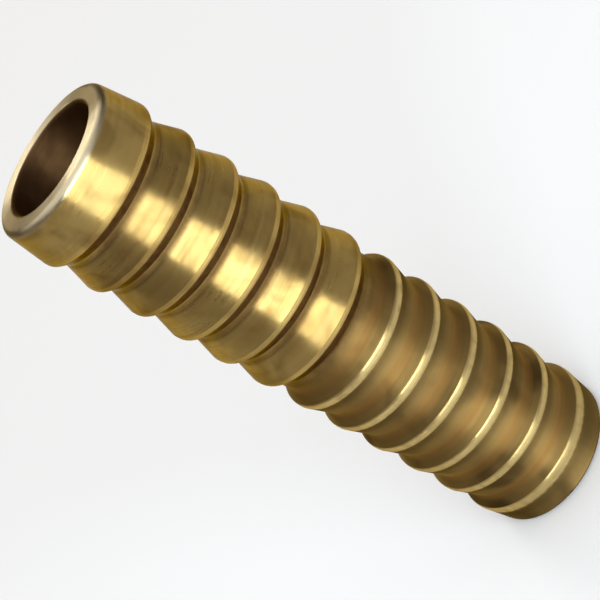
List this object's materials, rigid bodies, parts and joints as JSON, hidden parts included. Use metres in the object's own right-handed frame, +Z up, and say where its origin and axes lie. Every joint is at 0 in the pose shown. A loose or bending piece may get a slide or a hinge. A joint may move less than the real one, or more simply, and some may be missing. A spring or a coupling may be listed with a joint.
{
  "type": "barbed insert pipe coupling",
  "caption": "One-piece turned brass pipe coupling: two long spigots ringed with ramped barbs, meeting at a short plain waist, with a straight waterway through.",
  "frame": {"origin": "centre of the lower end face, on the waterway's axis", "axes": "+Z up along the waterway from the lower end face to the upper one; X and Y lie across it, and the part is round about Z"},
  "size_m": [0.0276, 0.0276, 0.1036],
  "materials": {
    "brass": "turned brass with fine lathe marks round it, lightly tarnished in the grooves"
  },
  "bodies": {
    "root": {"coupling_body": "brass"}
  },
  "joints": []
}
